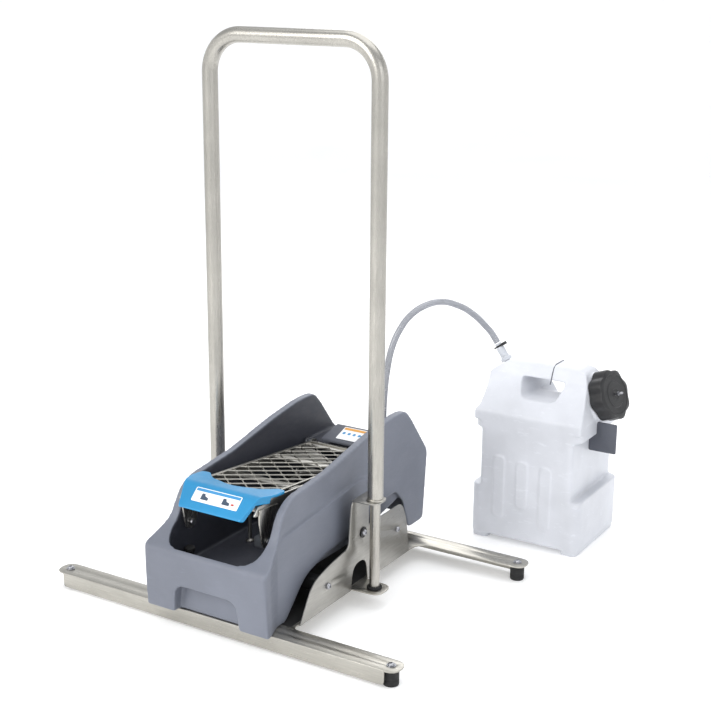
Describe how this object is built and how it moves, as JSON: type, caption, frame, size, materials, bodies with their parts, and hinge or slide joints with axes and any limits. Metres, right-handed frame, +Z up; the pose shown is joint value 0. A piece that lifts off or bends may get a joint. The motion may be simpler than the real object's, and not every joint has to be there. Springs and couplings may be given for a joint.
{
  "type": "footwear washing station",
  "caption": "Floor-standing boot sole washer: sprung treadle over a pump in a moulded tub, tall U-handle, foot bars and a feed jug on a hose.",
  "frame": {"origin": "on the floor, under the middle of the bounding box", "axes": "+Z up, +X to the user's right, +Y away from the user"},
  "size_m": [0.9114, 0.9714, 1.139],
  "materials": {
    "stainless": "brushed",
    "zinc_steel": "zinc plated",
    "shell_plastic": "fine moulded texture",
    "housing_plastic": "satin",
    "rubber": "matt",
    "heel_plastic": "satin",
    "jug_plastic": "blow moulded, satin",
    "black_plastic": "satin",
    "pump_plastic": "satin",
    "brass": "machined",
    "clear_hose": "clear PVC"
  },
  "bodies": {
    "station": {"base_pan": "stainless", "coupling_body": "jug_plastic", "coupling_socket": "housing_plastic", "delivery_tube": "clear_hose", "dip_tube": "clear_hose", "drain_plug": "rubber", "foot_front_left": "rubber", "foot_front_right": "rubber", "foot_rear_left": "rubber", "foot_rear_right": "rubber", "handle_spigot_left": "stainless", "handle_spigot_right": "stainless", "hose_gland": "housing_plastic", "inlet_valve": "brass", "jug_body": "jug_plastic", "outlet_valve": "brass", "pivot_bracket_left": "zinc_steel", "pivot_bracket_right": "zinc_steel", "pivot_bush_left": "pump_plastic", "pivot_bush_right": "pump_plastic", "pivot_shaft": "zinc_steel", "pump_base": "pump_plastic", "pump_cylinder": "stainless", "pump_head": "pump_plastic", "rear_housing": "housing_plastic", "return_spring": "zinc_steel", "shell_spacer_left": "pump_plastic", "shell_spacer_right": "pump_plastic", "side_plate_left": "stainless", "side_plate_right": "stainless", "spigot_ring_left": "rubber", "spigot_ring_right": "rubber", "spray_manifold": "stainless", "stop_buffer_left": "rubber", "stop_buffer_right": "rubber", "subframe": "zinc_steel", "suction_tube": "clear_hose", "supply_hose": "clear_hose", "tie_rod_front": "zinc_steel", "tie_rod_rear": "zinc_steel", "tie_rod_shell": "zinc_steel", "tub_shell": "shell_plastic", "u_handle": "stainless", "valve_block": "brass"},
    "treadle": {"treadle_frame": "stainless", "pivot_tube": "zinc_steel", "grate": "stainless", "heel_rest": "heel_plastic", "hanger_left": "stainless", "hanger_right": "stainless", "hanger_bolt_left": "zinc_steel", "hanger_bolt_right": "zinc_steel"},
    "pump_rod": {"piston": "pump_plastic", "piston_seal": "rubber", "piston_rod": "stainless", "rod_button": "rubber"},
    "jug_cap": {"jug_cap": "black_plastic", "cap_gasket": "rubber", "cap_vent_pin": "zinc_steel"},
    "coupling_latch": {"coupling_latch": "black_plastic"}
  },
  "joints": [
    {"name": "treadle_hinge", "type": "hinge", "parent": "station", "child": "treadle", "pos_m": [-0.04566, 0.02969, 0.23], "axis": [1, 0, 0], "range_deg": [0, 5], "stiffness_Nm_per_rad": 150, "springref_deg": -8.59},
    {"name": "pump_stroke", "type": "slide", "parent": "station", "child": "pump_rod", "axis": [0, 0, -1], "range_m": [0, 0.0234], "deforming": ["return_spring"]},
    {"name": "cap_turn", "type": "hinge", "parent": "station", "child": "jug_cap", "pos_m": [0.41934, 0.36869, 0.349], "axis": [0.922, -0.1403, 0.3608], "continuous": true},
    {"name": "latch_press", "type": "slide", "parent": "station", "child": "coupling_latch", "axis": [-0.8181, 0, -0.5751], "range_m": [0, 0.0015], "stiffness_N_per_m": 500, "springref_m": -0.002}
  ],
  "couplings": [
    {"joint": "pump_stroke", "follows": "treadle_hinge", "m_per_rad": 0.266}
  ]
}
